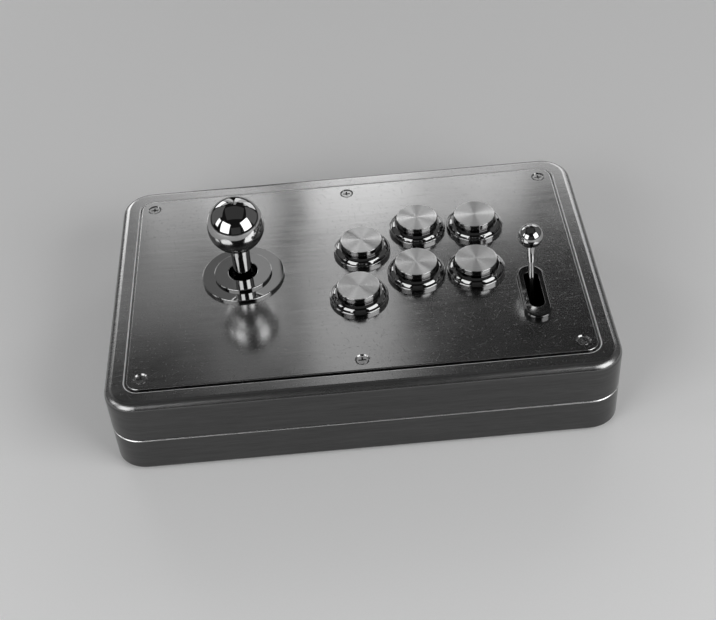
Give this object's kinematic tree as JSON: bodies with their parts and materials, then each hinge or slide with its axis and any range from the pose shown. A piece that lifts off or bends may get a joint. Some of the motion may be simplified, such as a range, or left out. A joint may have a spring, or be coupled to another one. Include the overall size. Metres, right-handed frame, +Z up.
{
  "type": "arcade stick",
  "caption": "Tabletop arcade stick: satin metal case, screwed control panel with a ball-top lever, round push buttons in two skewed rows and a small ball-ended selector lever in a slot.",
  "frame": {"origin": "under the middle of the case, on the surface that the feet stand on", "axes": "+X to the player's right, +Y away from the player, +Z up"},
  "size_m": [0.302, 0.202, 0.114],
  "materials": {
    "case_satin": "satin brushed, dark silver",
    "panel_satin": "fine satin grain with hairline scratches",
    "screw_steel": "bright",
    "polished": "mirror",
    "bezel_chrome": "mirror",
    "cap_spun": "spun face, polished side",
    "bright_steel": "bright",
    "black_plastic": "matt",
    "white_plastic": "gloss",
    "rubber": "matt",
    "circuit_board": "lacquered"
  },
  "bodies": {
    "base": {"board_screws": "screw_steel", "button_housing_1": "bezel_chrome", "button_housing_2": "bezel_chrome", "button_housing_3": "bezel_chrome", "button_housing_4": "bezel_chrome", "button_housing_5": "bezel_chrome", "button_housing_6": "bezel_chrome", "button_nuts": "screw_steel", "button_switch_1": "black_plastic", "button_switch_2": "black_plastic", "button_switch_3": "black_plastic", "button_switch_4": "black_plastic", "button_switch_5": "black_plastic", "button_switch_6": "black_plastic", "case_screws": "screw_steel", "centring_grommet": "rubber", "collar_nut": "screw_steel", "collar_plate": "polished", "collar_ring": "polished", "control_panel": "panel_satin", "foot_back_left": "rubber", "foot_back_right": "rubber", "foot_front_left": "rubber", "foot_front_right": "rubber", "gate_screws": "screw_steel", "lever_housing": "black_plastic", "lower_case": "case_satin", "main_board": "circuit_board", "panel_screws": "screw_steel", "restrictor_gate": "black_plastic", "selector_bracket": "bright_steel", "selector_escutcheon": "polished", "selector_switch": "black_plastic", "sensor_board": "circuit_board", "stud_nuts": "screw_steel", "upper_case": "case_satin", "usb_socket": "bright_steel"},
    "gimbal": {"gimbal_ring": "bright_steel", "trunnion_pins": "bright_steel"},
    "stick": {"ball_top": "polished", "shaft_sleeve": "polished", "lever_shaft": "bright_steel", "cross_pin": "bright_steel", "magnet": "bright_steel"},
    "selector": {"selector_knob": "polished", "selector_stem": "polished", "selector_pivot": "bright_steel"},
    "button_1": {"button_cap_1": "cap_spun", "switch_plunger_1": "white_plastic"},
    "button_2": {"button_cap_2": "cap_spun", "switch_plunger_2": "white_plastic"},
    "button_3": {"button_cap_3": "cap_spun", "switch_plunger_3": "white_plastic"},
    "button_4": {"button_cap_4": "cap_spun", "switch_plunger_4": "white_plastic"},
    "button_5": {"button_cap_5": "cap_spun", "switch_plunger_5": "white_plastic"},
    "button_6": {"button_cap_6": "cap_spun", "switch_plunger_6": "white_plastic"}
  },
  "joints": [
    {"name": "stick_forward_back", "type": "hinge", "parent": "base", "child": "gimbal", "pos_m": [-0.0692, 0.0042, 0.0425], "axis": [1, 0, 0], "range_deg": [-7.5, 7.5], "stiffness_Nm_per_rad": 0.5, "deforming": ["centring_grommet"]},
    {"name": "stick_left_right", "type": "hinge", "parent": "gimbal", "child": "stick", "pos_m": [-0.0692, 0.0042, 0.0425], "axis": [0, 1, 0], "range_deg": [-7.5, 7.5], "stiffness_Nm_per_rad": 0.5, "deforming": ["centring_grommet"]},
    {"name": "button_1_press", "type": "slide", "parent": "base", "child": "button_1", "axis": [0, 0, -1], "range_m": [0, 0.003], "stiffness_N_per_m": 200, "springref_m": -0.003},
    {"name": "button_2_press", "type": "slide", "parent": "base", "child": "button_2", "axis": [0, 0, -1], "range_m": [0, 0.003], "stiffness_N_per_m": 200, "springref_m": -0.003},
    {"name": "button_3_press", "type": "slide", "parent": "base", "child": "button_3", "axis": [0, 0, -1], "range_m": [0, 0.003], "stiffness_N_per_m": 200, "springref_m": -0.003},
    {"name": "button_4_press", "type": "slide", "parent": "base", "child": "button_4", "axis": [0, 0, -1], "range_m": [0, 0.003], "stiffness_N_per_m": 200, "springref_m": -0.003},
    {"name": "button_5_press", "type": "slide", "parent": "base", "child": "button_5", "axis": [0, 0, -1], "range_m": [0, 0.003], "stiffness_N_per_m": 200, "springref_m": -0.003},
    {"name": "button_6_press", "type": "slide", "parent": "base", "child": "button_6", "axis": [0, 0, -1], "range_m": [0, 0.003], "stiffness_N_per_m": 200, "springref_m": -0.003},
    {"name": "selector_tilt", "type": "hinge", "parent": "base", "child": "selector", "pos_m": [0.1074, -0.035, 0.0255], "axis": [1, 0, 0], "range_deg": [0, 33.4]}
  ]
}
